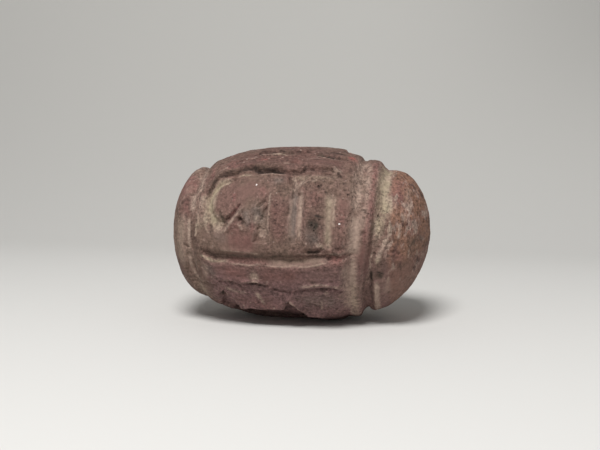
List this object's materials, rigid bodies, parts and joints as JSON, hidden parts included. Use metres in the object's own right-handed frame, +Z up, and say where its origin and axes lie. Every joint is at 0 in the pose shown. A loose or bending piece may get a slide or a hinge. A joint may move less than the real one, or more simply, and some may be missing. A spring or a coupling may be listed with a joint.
{
  "type": "clay stamp seal",
  "caption": "Barrel-shaped fired-clay seal, carved round its side with a hooked motif, upright bars and teeth, for rolling a pattern.",
  "frame": {"origin": "centre of the flat resting spot underneath, on the surface the seal lies on", "axes": "+X along the seal's long axis, towards the end with the raised ring; +Z up; the richly carved side faces -Y"},
  "size_m": [0.0645, 0.0438, 0.0433],
  "materials": {
    "fired_clay": "matte unglazed red-brown fired clay with paler soil in the cuts"
  },
  "bodies": {
    "root": {"stamp_seal": "fired_clay"}
  },
  "joints": []
}
